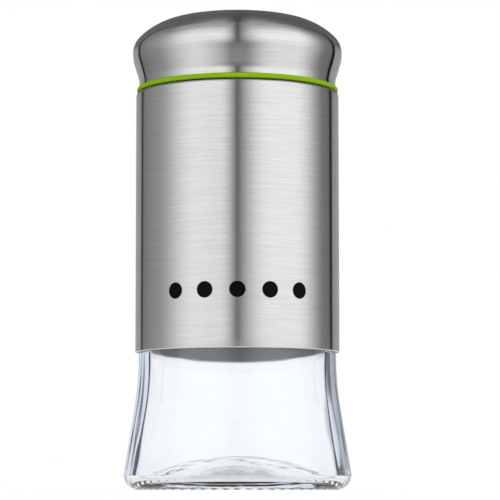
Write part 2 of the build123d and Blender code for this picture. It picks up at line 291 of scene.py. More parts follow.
def pressedGlass(look):
    material, tree, shader = newMaterial("pressedSodaLimeGlass")
    coords = addNode(tree, "ShaderNodeTexCoord")
    perWidth, perLength = 1 / (look["waveWidth"] * mm), 1 / (look["waveLength"] * mm)
    stretch = addNode(tree, "ShaderNodeVectorMath",
                      {0: coords.outputs["Object"], 1: (perWidth, perWidth, perLength)}, operation="MULTIPLY")
    waves = addNode(tree, "ShaderNodeTexNoise", {"Vector": stretch.outputs[0], "Scale": 1.0, "Detail": 1.5})
    colour = addNode(tree, "ShaderNodeMix",
                     {0: waves.outputs[0], 6: toLinear(look["tint"]), 7: toLinear(look["thickTint"])},
                     data_type="RGBA")
    ripple = addNode(tree, "ShaderNodeBump",
                     {"Height": waves.outputs[0], "Strength": 0.6, "Distance": look["waveDepth"] * mm})
    tree.links.new(colour.outputs[2], shader.inputs["Base Color"])
    tree.links.new(ripple.outputs[0], shader.inputs["Normal"])
    shader.inputs["Roughness"].default_value = look["roughness"]
    shader.inputs["IOR"].default_value = look["ior"]
    shader.inputs["Transmission Weight"].default_value = 1.0
    body = addNode(tree, "ShaderNodeVolumeAbsorption",
                   {"Color": toLinear(look["absorbColour"]), "Density": look["absorbPerMetre"]})
    tree.links.new(body.outputs[0], tree.nodes["Material Output"].inputs["Volume"])
    return material


# Moulded rubber and plastic: a matt skin with a fine grain, and a slow change of shade
limeSilicone = {
    "name": "limeSilicone", "ior": 1.41, "gloss": 0.15, "colour": "#9ccc06", "shade": "#92c204",
    "roughness": 0.6, "roughnessSpread": 0.08, "grain": 0.22, "grainDepth": 0.008, "patch": 7,
}
whitePolypropylene = {
    "name": "whitePolypropylene", "ior": 1.45, "gloss": 0.5, "colour": "#ecece7", "shade": "#e2e2dc",
    "roughness": 0.42, "roughnessSpread": 0.07, "grain": 0.3, "grainDepth": 0.006, "patch": 9,
}
greyPolypropylene = {
    "name": "greyPolypropylene", "ior": 1.45, "gloss": 0.5, "colour": "#dadbd8", "shade": "#cfd0cd",
    "roughness": 0.4, "roughnessSpread": 0.07, "grain": 0.3, "grainDepth": 0.006, "patch": 9,
}
sealFoam = {
    "name": "closedCellFoam", "ior": 1.4, "gloss": 0.5, "colour": "#e4e4de", "shade": "#d3d3cb",
    "roughness": 0.8, "roughnessSpread": 0.06, "grain": 0.35, "grainDepth": 0.05, "patch": 4,
}


def mouldedSkin(look):
    material, tree, shader = newMaterial(look["name"])
    coords = addNode(tree, "ShaderNodeTexCoord")
    grain = addNode(tree, "ShaderNodeTexNoise",
                    {"Vector": coords.outputs["Object"], "Scale": 1 / (look["grain"] * mm), "Detail": 2.0})
    patch = addNode(tree, "ShaderNodeTexNoise",
                    {"Vector": coords.outputs["Object"], "Scale": 1 / (look["patch"] * mm), "Detail": 3.0})
    colour = addNode(tree, "ShaderNodeMix",
                     {0: patch.outputs[0], 6: toLinear(look["shade"]), 7: toLinear(look["colour"])},
                     data_type="RGBA")
    rough = addNode(tree, "ShaderNodeMapRange",
                    {0: grain.outputs[0], 1: noiseRange[0], 2: noiseRange[1],
                     3: look["roughness"] - look["roughnessSpread"],
                     4: look["roughness"] + look["roughnessSpread"]})
    bumps = addNode(tree, "ShaderNodeBump",
                    {"Height": grain.outputs[0], "Strength": 0.6, "Distance": look["grainDepth"] * mm})
    tree.links.new(colour.outputs[2], shader.inputs["Base Color"])
    tree.links.new(rough.outputs[0], shader.inputs["Roughness"])
    tree.links.new(bumps.outputs[0], shader.inputs["Normal"])
    shader.inputs["IOR"].default_value = look["ior"]
    shader.inputs["Specular IOR Level"].default_value = look["gloss"]
    return material


# Clear silicone glue: a cloudy soft film between glass and steel
glueLook = {"colour": "#eef1f1", "shade": "#dfe4e5", "roughness": 0.35, "bubble": 0.8, "ior": 1.41,
            "clearness": 0.6}


def clearGlue(look):
    material, tree, shader = newMaterial("clearSiliconeGlue")
    coords = addNode(tree, "ShaderNodeTexCoord")
    cloud = addNode(tree, "ShaderNodeTexNoise",
                    {"Vector": coords.outputs["Object"], "Scale": 1 / (look["bubble"] * mm), "Detail": 2.0})
    colour = addNode(tree, "ShaderNodeMix",
                     {0: cloud.outputs[0], 6: toLinear(look["shade"]), 7: toLinear(look["colour"])},
                     data_type="RGBA")
    tree.links.new(colour.outputs[2], shader.inputs["Base Color"])
    shader.inputs["Roughness"].default_value = look["roughness"]
    shader.inputs["IOR"].default_value = look["ior"]
    shader.inputs["Transmission Weight"].default_value = look["clearness"]
    return material


# Glass jar: punt, stippled bearing ring, foot, flare, body, shoulder and threaded neck, then the hollow
glassJar = {
    "bodyRadius": 25.1,
    "wall": 3.2,
    "footRound": 3.6,
    "flareHeight": 27.1,
    "flareRadius": 87.0,
    "puntHeight": 5.8,
    "heelHeight": 0.5,  # step between the punt and the bearing ring
    "heelWidth": 1.0,
    "heelRound": 0.4,
    "bearingInner": 24.0,
    "floorRim": 1.8,
    "floorCrown": 8.4,
    "floorRound": 1.0,
    "shoulderHeight": 100.7,
    "shoulderRound": 2.2,
    "shoulderThickness": 4.2,
    "neckRadius": 20.0,
    "neckWall": 3.0,
    "boreRound": 1.6,
    "lipRound": 0.8,
    "boreEdgeRound": 0.4,
    "threadLead": 8.0,
    "threadRise": 5.5,
    "threadStart": 3.4,
    "threadBead": 1.0,
    "threadStarts": 2,
    "neckRings": 54,
    "stippleCount": 56,
    "stippleSteps": 6,  # lathe steps to one stipple
    "stippleHeight": 0.36,
    "stippleLength": 1.7,  # around the ring
    "stippleWidth": 1.5,
    "stippleRings": 10,
    "waveWidth": 4.5,  # slow waves in the inner wall, left by the plunger
    "waveLength": 40,
    "waveDepth": 0.09,
    "swellDepth": 0.4,  # the wall thickens a little at front and back, just below the sleeve
    "swellHeights": (26, 35),
}


def makeGlassJar(j, material):
    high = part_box("glass_jar")[1]
    footRadius, rimHeight = high.x / mm, high.z / mm
    # the flare's straight run starts at the foot's round and aims at the crossing with the body's line
    footCentre = footRadius - j["footRound"]
    footRun, flareRun = footCentre - j["bodyRadius"], j["flareHeight"] - j["footRound"]
    slope = math.atan2(footRun, flareRun) + math.asin(j["footRound"] / math.hypot(footRun, flareRun))
    lean = math.degrees(slope)
    reach = j["flareRadius"] * math.tan(slope / 2)
    # outside, from the middle of the punt up to the rim
    lift = j["stippleHeight"]
    liftAngle = math.degrees(math.acos(1 - lift / j["footRound"]))
    puntFall = j["puntHeight"] - j["heelHeight"]
    heelRadius = j["bearingInner"] - j["heelWidth"]
    heelSlope = math.degrees(math.atan2(j["heelHeight"] - lift, j["heelWidth"]))
    puntTurn = 2 * math.degrees(math.atan2(puntFall, heelRadius))
    puntRadius = (heelRadius ** 2 + puntFall ** 2) / (2 * puntFall)
    bearingOuter = footCentre + j["footRound"] * math.sin(math.radians(liftAngle))
    bm, vert = startWire(0, j["puntHeight"])
    vert = bend(bm, vert, 0, puntRadius, -puntTurn, 14)
    vert = bend(bm, vert, -puntTurn, j["heelRound"], puntTurn - heelSlope, 6)
    vert = runTo(bm, vert, j["bearingInner"], lift, 4)
    vert = runTo(bm, vert, bearingOuter, lift, j["stippleRings"])
    vert = bend(bm, vert, liftAngle, j["footRound"], 90 + lean - liftAngle, 20)
    vert = runTo(bm, vert, j["bodyRadius"] + reach * math.sin(slope),
                 j["flareHeight"] - reach * math.cos(slope), 8)
    vert = bend(bm, vert, 90 + lean, j["flareRadius"], -lean, 12)
    vert = runTo(bm, vert, j["bodyRadius"], j["shoulderHeight"] - j["shoulderRound"], 16)
    vert = bend(bm, vert, 90, j["shoulderRound"], 90, 8)
    vert = runTo(bm, vert, j["neckRadius"], j["shoulderHeight"], 2)
    vert = runTo(bm, vert, j["neckRadius"], rimHeight - j["lipRound"], j["neckRings"])
    rim = bend(bm, vert, 90, j["lipRound"], 90, 6)
    # inside, from the middle of the floor up to the rim
    innerRadius = j["bodyRadius"] - j["wall"]
    innerHeight = j["flareHeight"] - j["wall"] * math.tan(slope / 2)
    innerReach = (j["flareRadius"] + j["wall"]) * math.tan(slope / 2)
    floorRadius = innerRadius + (innerHeight - j["floorRim"]) * math.tan(slope)
    floorFall = j["floorCrown"] - j["floorRim"]
    crownRadius = (floorRadius ** 2 + floorFall ** 2) / (2 * floorFall)
    wallOffset = innerRadius * math.cos(slope) + innerHeight * math.sin(slope)
    cornerPull = wallOffset - j["floorRound"] - (j["floorCrown"] - crownRadius) * math.sin(slope)
    floorTurn = math.degrees(math.asin(cornerPull / (crownRadius + j["floorRound"])) - slope)
    neckBore = j["neckRadius"] - j["neckWall"]
    shoulderBend = innerRadius - neckBore - j["boreRound"]
    innerShoulder = j["shoulderHeight"] - j["shoulderThickness"]
    vert = bmesh.ops.create_vert(bm, co=(0, 0, j["floorCrown"]))["vert"][0]
    vert = bend(bm, vert, 0, crownRadius, -floorTurn, 16)
    vert = bend(bm, vert, -floorTurn, j["floorRound"], 90 + lean + floorTurn, 16)
    vert = runTo(bm, vert, innerRadius + innerReach * math.sin(slope),
                 innerHeight - innerReach * math.cos(slope), 8)
    vert = bend(bm, vert, 90 + lean, j["flareRadius"] + j["wall"], -lean, 12)
    vert = runTo(bm, vert, innerRadius, innerShoulder - shoulderBend, 14)
    vert = bend(bm, vert, 90, shoulderBend, 90, 8)
    vert = bend(bm, vert, 180, j["boreRound"], -90, 6)
    vert = runTo(bm, vert, neckBore, rimHeight - j["boreEdgeRound"], 6)
    vert = bend(bm, vert, 90, j["boreEdgeRound"], -90, 4)
    bmesh.ops.contextual_create(bm, geom=[rim, vert])
    lathe(bm, j["stippleCount"] * j["stippleSteps"])
    waveInnerWall(bm, j, slope)
    raiseStipple(bm, j, (j["bearingInner"] + bearingOuter) / 2)
    raiseThread(bm, j)
    finishPiece(bm, "pressed_glass_jar", material, "jar", "glass_jar")


def waveInnerWall(bm, j, slope):
    # waves and swell both fade out towards the floor and the shoulder
    low, high = j["floorCrown"], j["shoulderHeight"] - 2 * j["shoulderThickness"]
    swellStart, swellEnd = j["swellHeights"]
    for v in bm.verts:
        r, z = math.hypot(v.co.x, v.co.y), v.co.z
        middle = j["bodyRadius"] - j["wall"] / 2 + max(0, j["flareHeight"] - z) * math.tan(slope)
        if low < z < high and j["neckRadius"] < r < middle:
            wave = noise.noise((v.co.x / j["waveWidth"], v.co.y / j["waveWidth"], z / j["waveLength"]))
            share = min(1, (z - low) / j["waveWidth"], (high - z) / j["waveWidth"])
            rise = max(0, min(1, (z - swellStart) / (swellEnd - swellStart)))
            swell = j["swellDepth"] * rise ** 2 * (3 - 2 * rise) * (v.co.y / r) ** 2
            grow = 1 + share * (j["waveDepth"] * wave - swell) / r
            v.co.x *= grow
            v.co.y *= grow


def raiseStipple(bm, j, ringRadius):
    # low oval pads on the bearing ring, on which the jar stands
    pitch = 2 * math.pi / j["stippleCount"]
    for v in bm.verts:
        r = math.hypot(v.co.x, v.co.y)
        if abs(v.co.z - j["stippleHeight"]) < onSurface and abs(r - ringRadius) < j["stippleWidth"] / 2:
            angle = math.atan2(v.co.y, v.co.x)
            beside = (angle - pitch * round(angle / pitch)) * r / (j["stippleLength"] / 2)
            across = (r - ringRadius) / (j["stippleWidth"] / 2)
            v.co.z *= min(1, beside ** 2 + across ** 2)


def raiseThread(bm, j):
    # half-round ridges that climb the neck to the right, with ball ends
    start = j["shoulderHeight"] + j["threadStart"]
    sweep = 2 * math.pi * j["threadRise"] / j["threadLead"]
    for v in bm.verts:
        r = math.hypot(v.co.x, v.co.y)
        if abs(r - j["neckRadius"]) > onSurface or v.co.z < j["shoulderHeight"] + onSurface:
            continue
        height = 0
        for ridge in range(j["threadStarts"]):
            angle = (math.atan2(v.co.y, v.co.x) - 2 * math.pi * ridge / j["threadStarts"]) % (2 * math.pi)
            past = max(0, min(angle - sweep, 2 * math.pi - angle))
            onRidge = angle if angle <= sweep else (sweep if angle - sweep < 2 * math.pi - angle else 0)
            rise = v.co.z - start - j["threadLead"] * onRidge / (2 * math.pi)
            gap = math.hypot(past * r, rise)
            height = max(height, math.sqrt(max(0, j["threadBead"] ** 2 - gap ** 2)))
        v.co.x *= (r + height) / r
        v.co.y *= (r + height) / r


# Steel sleeve: thin tube with a rounded lower edge and its top edge turned in
steelSleeve = {"wall": 0.5, "topRound": 0.75, "mouthRadius": 21.6, "lipRound": 0.2, "latheSteps": 256}


def makeSleeve(s, material):
    low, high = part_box("steel_sleeve")
    outer, bottom, top = high.x / mm, low.z / mm, high.z / mm
    inner, hem = outer - s["wall"], s["wall"] / 2
    bm, first = startWire(inner, bottom + hem)
    vert = bend(bm, first, -90, hem, 180, 12)
    vert = runTo(bm, vert, outer, top - s["topRound"], 24)
    vert = bend(bm, vert, 90, s["topRound"], 90, 10)
    vert = runTo(bm, vert, s["mouthRadius"] + s["lipRound"], top, 6)
    vert = bend(bm, vert, 180, s["lipRound"], 90, 4)
    vert = runTo(bm, vert, s["mouthRadius"], top - s["wall"] + s["lipRound"])
    vert = bend(bm, vert, -90, s["lipRound"], 90, 4)
    vert = runTo(bm, vert, inner - s["lipRound"], top - s["wall"], 4)
    vert = bend(bm, vert, 0, s["lipRound"], -90, 4)
    vert = runTo(bm, vert, inner, bottom + 2 * hem, 24)
    bmesh.ops.contextual_create(bm, geom=[vert, first])
    lathe(bm, s["latheSteps"])
    finishPiece(bm, "brushed_sleeve", material, "jar", "steel_sleeve")


# Lid shell: waist, hollow flank, belly, rim, crown and dome, drawn from one sheet
lidShell = {"wall": 0.5, "edgeRound": 0.2, "waistRadius": 25.2, "waistHeight": 1.1, "flare": 17.0,
            "hollowRadius": 6.0, "bellyRadius": 11.0, "rimRadius": 5.2, "rimArc": 45.0, "crownRadius": 17.4,
            "crownArc": 33.0, "latheSteps": 256}


def makeLidShell(s, material):
    low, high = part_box("lid_shell")
    bottom, top = low.z / mm, high.z / mm
    domeArc = 90 - s["rimArc"] - s["crownArc"]
    # the flank's straight slope takes up what height the arcs leave
    flare, rimArc = math.radians(s["flare"]), math.radians(s["rimArc"])
    crownEnd, domeTurn = math.radians(s["rimArc"] + s["crownArc"]), math.radians(domeArc)
    flankOut = (s["hollowRadius"] + s["bellyRadius"]) * (1 - math.cos(flare))
    arcsIn = (s["rimRadius"] * (1 - math.cos(rimArc))
              + s["crownRadius"] * (math.cos(rimArc) - math.cos(crownEnd)))
    arcsUp = ((s["hollowRadius"] + s["bellyRadius"]) * math.sin(flare) + s["rimRadius"] * math.sin(rimArc)
              + s["crownRadius"] * (math.sin(crownEnd) - math.sin(rimArc)))
    domeRise = math.tan(domeTurn / 2)
    rest = top - bottom - s["waistHeight"] - arcsUp - (s["waistRadius"] + flankOut - arcsIn) * domeRise
    slope = rest / (math.cos(flare) + math.sin(flare) * domeRise)

    def flank(vert, inset):
        # from the top of the waist to the axis, with every radius moved inwards by inset
        vert = bend(bm, vert, 90, s["hollowRadius"] + inset, -s["flare"], 10)
        vert = run(bm, vert, 90 - s["flare"], slope, 8)
        vert = bend(bm, vert, 90 - s["flare"], s["bellyRadius"] - inset, s["flare"], 12)
        vert = bend(bm, vert, 90, s["rimRadius"] - inset, s["rimArc"], 24)
        vert = bend(bm, vert, 90 + s["rimArc"], s["crownRadius"] - inset, s["crownArc"], 24)
        bend(bm, vert, 180 - domeArc, vert.co.x / math.sin(domeTurn), domeArc, 16)

    innerEdge = s["waistRadius"] - s["wall"]
    innerRound = s["edgeRound"] / 2
    bm, first = startWire(innerEdge, bottom + innerRound)
    vert = bend(bm, first, -90, innerRound, 90, 3)
    vert = runTo(bm, vert, s["waistRadius"] - s["edgeRound"], bottom)
    vert = bend(bm, vert, 0, s["edgeRound"], 90, 5)
    vert = runTo(bm, vert, s["waistRadius"], bottom + s["waistHeight"], 4)
    flank(vert, 0)
    flank(runTo(bm, first, innerEdge, bottom + s["waistHeight"], 4), s["wall"])
    lathe(bm, s["latheSteps"])
    finishPiece(bm, "brushed_lid", material, "lid", "lid_shell")


# Accent ring: soft band with rounded edges and a slight belly
accentRing = {"seatRadius": 24.3, "outerRound": 0.32, "innerRound": 0.1, "belly": 0.03, "latheSteps": 256}


def makeRing(s, material):
    low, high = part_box("accent_ring")
    outer, bottom, top = high.x / mm, low.z / mm, high.z / mm
    face = outer - s["belly"]
    bm, first = startWire(s["seatRadius"], bottom + s["innerRound"])
    vert = bend(bm, first, -90, s["innerRound"], 90, 3)
    vert = runTo(bm, vert, face - s["outerRound"], bottom, 3)
    vert = bend(bm, vert, 0, s["outerRound"], 90, 6)
    vert = runTo(bm, vert, outer, (bottom + top) / 2, 3)
    vert = runTo(bm, vert, face, top - s["outerRound"], 3)
    vert = bend(bm, vert, 90, s["outerRound"], 90, 6)
    vert = runTo(bm, vert, s["seatRadius"] + s["innerRound"], top, 3)
    vert = bend(bm, vert, 180, s["innerRound"], 90, 3)
    bmesh.ops.contextual_create(bm, geom=[vert, first])
    lathe(bm, s["latheSteps"])
    finishPiece(bm, "soft_lime_ring", material, "lid", "accent_ring", sharpAngle=60)


# Sifter: flanged plate with a group of sprinkle holes, a pour hole and the dial's stop, on a hollow plug
sifterInsert = {"flangeThickness": 1.0, "edgeRound": 0.25, "flangeSteps": 128, "dialGap": 0.2,
                "rivetHole": 1.68, "holeCircle": 9.5, "holeSteps": 24, "pourAngle": 10, "pourRadius": 4.5,
                "pourSteps": 64, "sprinkleAngle": 170, "sprinkleRadius": 1.0, "sprinkleRing": 3.0,
                "sprinkleCount": 6, "plugRadius": 16.95, "plugWall": 1.0, "plugRound": 0.3,
                "stopInner": 15.2, "stopOuter": 16.3, "stopAngle": 8, "stopHeight": 1.4, "stopSteps": 8,
                "latheSteps": 128}


def makeSifter(s, material):
    low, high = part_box("sifter_insert")
    flangeRadius, plugBottom = high.x / mm, low.z / mm
    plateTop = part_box("selector_dial")[0].z / mm - s["dialGap"]
    bm = bmesh.new()
    base = plateTop - s["flangeThickness"] + s["edgeRound"]
    drawHole(bm, 0, 0, base, flangeRadius, s["flangeSteps"])
    drawHole(bm, 0, 0, base, s["rivetHole"], s["holeSteps"])
    drawHole(bm, s["pourAngle"], s["holeCircle"], base, s["pourRadius"], s["pourSteps"])
    way = math.radians(s["sprinkleAngle"])
    group = Vector((math.cos(way), math.sin(way), 0)) * s["holeCircle"]
    for hole in range(s["sprinkleCount"] + 1):
        reach = s["sprinkleRing"] if hole else 0
        before = len(bm.verts)
        drawHole(bm, 360 * hole / s["sprinkleCount"], reach, base, s["sprinkleRadius"], s["holeSteps"])
        bmesh.ops.translate(bm, verts=bm.verts[before:], vec=group)
    makePlate(bm, s["flangeThickness"], s["edgeRound"])
    # the stop is a unit square made upright and spun on the plate, sunk a little into it
    stop = bmesh.new()
    stopStart = math.radians(frontAngle - s["stopAngle"] / 2)
    block = bmesh.ops.create_grid(stop, x_segments=1, y_segments=1, size=0.5)["verts"]
    bmesh.ops.rotate(stop, verts=block, cent=(0, 0, 0), matrix=Matrix.Rotation(math.pi / 2, 3, "X"))
    sink = s["edgeRound"]
    bmesh.ops.scale(stop, verts=block, vec=(s["stopOuter"] - s["stopInner"], 1, s["stopHeight"] + sink))
    bmesh.ops.translate(stop, verts=block, vec=((s["stopInner"] + s["stopOuter"]) / 2, 0,
                                                plateTop + (s["stopHeight"] - sink) / 2))
    bmesh.ops.rotate(stop, verts=block, cent=(0, 0, 0), matrix=Matrix.Rotation(stopStart, 3, "Z"))
    bmesh.ops.spin(stop, geom=stop.verts[:] + stop.edges[:] + stop.faces[:], cent=(0, 0, 0), axis=(0, 0, 1),
                   angle=math.radians(s["stopAngle"]), steps=s["stopSteps"])
    bmesh.ops.recalc_face_normals(stop, faces=stop.faces)
    # the plug is turned as a ring whose top is inside the plate
    plug, corner = startWire(s["plugRadius"] - s["plugWall"], plateTop - s["flangeThickness"] / 2)
    vert = runTo(plug, corner, s["plugRadius"] - s["plugWall"], plugBottom + s["plugRound"], 4)
    vert = bend(plug, vert, -90, s["plugRound"], 90, 4)
    vert = runTo(plug, vert, s["plugRadius"] - s["plugRound"], plugBottom)
    vert = bend(plug, vert, 0, s["plugRound"], 90, 4)
    vert = runTo(plug, vert, s["plugRadius"], plateTop - s["flangeThickness"] / 2, 4)
    bmesh.ops.contextual_create(plug, geom=[vert, corner])
    lathe(plug, s["latheSteps"])
    for extra in (stop, plug):
        joinInto(bm, extra)
    finishPiece(bm, "moulded_sifter", material, "jar", "sifter_insert", sharpAngle=50)


# Dial: disc with one window, a notch that runs against the stop, and a thumb tab
selectorDial = {"thickness": 1.2, "edgeRound": 0.25, "notchArc": 170, "notchRadius": 15.0, "rimSteps": 120,
                "notchSteps": 100, "rivetHole": 1.6, "holeSteps": 32, "windowAngle": 90, "windowReach": 9.5,
                "windowRadius": 5.2, "windowSteps": 72, "tabInner": 5.0, "tabOuter": 14.0,
                "tabThickness": 2.4, "tabRound": 0.9, "tabSteps": 5}


def makeDial(s, material):
    low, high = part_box("selector_dial")
    bottom, top, rim = low.z / mm, high.z / mm, high.x / mm
    base = bottom + s["edgeRound"]
    start = math.radians(frontAngle + s["notchArc"] / 2)
    bm = bmesh.new()
    vert = bmesh.ops.create_vert(bm, co=(rim * math.cos(start), rim * math.sin(start), base))["vert"][0]
    for arc, steps, radius in ((360 - s["notchArc"], s["rimSteps"], s["notchRadius"]),
                               (s["notchArc"], s["notchSteps"], rim)):
        turned = bmesh.ops.spin(bm, geom=[vert], cent=(0, 0, 0), axis=(0, 0, 1),
                                angle=math.radians(arc), steps=steps)
        vert = [v for v in turned["geom_last"] if isinstance(v, bmesh.types.BMVert)][0]
        stepped = bmesh.ops.extrude_vert_indiv(bm, verts=[vert])["verts"]
        share = radius / math.hypot(vert.co.x, vert.co.y)
        bmesh.ops.scale(bm, verts=stepped, vec=(share, share, 1))
        vert = stepped[0]
    bmesh.ops.remove_doubles(bm, verts=bm.verts, dist=mergeGap)
    drawHole(bm, s["windowAngle"], s["windowReach"], base, s["windowRadius"], s["windowSteps"])
    drawHole(bm, 0, 0, base, s["rivetHole"], s["holeSteps"])
    makePlate(bm, s["thickness"], s["edgeRound"])
    # the tab's foot is sunk a little into the disc
    foot = bottom + s["thickness"] - s["edgeRound"]
    length, height = s["tabOuter"] - s["tabInner"], top - foot
    size = Matrix.Diagonal((s["tabThickness"], length, height, 1))
    place = Matrix.Translation((0, -(s["tabInner"] + s["tabOuter"]) / 2, foot + height / 2))
    tab = bmesh.ops.create_cube(bm, size=1, matrix=place @ size)["verts"]
    edges = {e for v in tab for e in v.link_edges if max(end.co.z for end in e.verts) > foot + height / 2}
    bmesh.ops.bevel(bm, geom=list(edges), offset=s["tabRound"], offset_type="OFFSET", segments=s["tabSteps"],
                    profile=0.5, affect="EDGES", material=-1)
    finishPiece(bm, "moulded_dial", material, "dial", "selector_dial", sharpAngle=50)


# Rivet: domed head on a pin, with a spread tail under the plate
dialRivet = {"headHeight": 0.9, "domeRadius": 12, "domeTurn": 12, "pinRadius": 1.6, "tailRadius": 2.4,
             "tailHeight": 0.8, "tailRound": 0.3, "latheSteps": 96}


def makeRivet(s, material):
    low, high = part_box("dial_rivet")
    headRadius, top, bottom = high.x / mm, high.z / mm, low.z / mm
    bm, vert = startWire(0, top)
    vert = bend(bm, vert, 0, s["domeRadius"], -s["domeTurn"], 8)
    vert = bend(bm, vert, -s["domeTurn"], headRadius - vert.co.x, s["domeTurn"] - 90, 8)
    vert = runTo(bm, vert, vert.co.x, top - s["headHeight"])
    vert = runTo(bm, vert, s["pinRadius"], top - s["headHeight"], 2)
    vert = runTo(bm, vert, s["pinRadius"], bottom + s["tailHeight"], 3)
    vert = runTo(bm, vert, s["tailRadius"], bottom + s["tailHeight"])
    vert = runTo(bm, vert, s["tailRadius"], bottom + s["tailRound"])
    vert = bend(bm, vert, -90, s["tailRound"], -90, 4)
    runTo(bm, vert, 0, bottom, 2)
    lathe(bm, s["latheSteps"])
    finishPiece(bm, "headed_rivet", material, "dial", "dial_rivet")


steelMaterial = brushedSteel("brushedStainlessSteel", {**steelLook, **lidFinish})
makeGlassJar(glassJar, pressedGlass(glassLook))
makeSleeve(steelSleeve, brushedSteel("brushedStainlessSleeve", steelLook, dotPrint))
makeLidShell(lidShell, steelMaterial)
makeRing(accentRing, mouldedSkin(limeSilicone))

whitePlastic = mouldedSkin(whitePolypropylene)
makeSifter(sifterInsert, whitePlastic)
makeDial(selectorDial, mouldedSkin(greyPolypropylene))
makeRivet(dialRivet, steelMaterial)

# Nodes that keep their own shape get their finish
for nodeName, material in (
    ("lid_liner", whitePlastic),
    ("lid_seal", mouldedSkin(sealFoam)),
    ("sleeve_glue_bands", clearGlue(glueLook)),
):
    for materialSlot in nodes[nodeName].material_slots:
        materialSlot.material = material
print("finishes set with", len(bpy.data.materials), "materials")

# Studio: two tall light banks beside the camera with a gap between them, each with a dim wall beyond it
# and a black flag before the white backdrop, a panel overhead and a low fill. Azimuths count from the
# camera to either side, heights from level.
studio = {
    "leftBank": {"rise": (0, 20), "fall": (48, 100), "strength": 0.74, "wall": 0.50, "wallEnd": 0.10,
                 "flag": (134, 141)},
    "rightBank": {"rise": (-1, 34), "fall": (69, 115), "strength": 1.00, "wall": 0.33, "wallEnd": 0.08,
                  "flag": (127.5, 136.5)},
    "bankEdge": 0.5,  # power of the rise: lower is a harder inner edge
    "wallFade": (60, 170),
    "flagEdge": 1.5,
    "flagTop": (40, 55),
    "bankTop": {"fade": (18, 84), "share": 0.3},
    "bankFoot": {"rise": (-11, 3), "spread": (3, 48), "shares": (0.27, 0.82), "fill": 0.2},
    "overhead": {"rise": (30, 55), "back": (10, 28), "strength": 0.45, "gap": 0.12},  # split by the gap
    "room": 0.06,  # the rest, between and behind the lamps
    # what glass shows of the room, from the front to the sides
    "glassRoom": {"spread": (40, 80), "shares": (0.95, 0.85)},
    "backdrop": {"topInMetal": (9, 15), "topInGlass": (40, 60), "inMetal": 0.42, "inGlass": 1.0},
    "oneWall": 3,  # light that crossed fewer surfaces stayed in one wall of the jar
    "steelBehind": 6,  # light that crossed more surfaces comes from inside the sleeve
    # share of the backdrop in the turned edges of the glass, less a grey streak in each; in the flare the
    # left streak is strongest, and the right wall is light within and grey outside
    "glassEdge": {
        "tint": "#eaf2fe",
        "streakEdge": 4,
        "left": {"share": 0.9, "streak": (147, 157), "streakLoss": 0.8, "flare": (3, 5.5), "flareShare": 0.4},
        "right": {"share": 0.58, "streak": (133, 152), "streakLoss": 0.4, "rim": (167, 176), "rimLoss": 0.3,
                  "flare": (5, 7.5), "flareEdge": (140, 148), "flareLoss": (-0.38, 0.45)},
    },
}


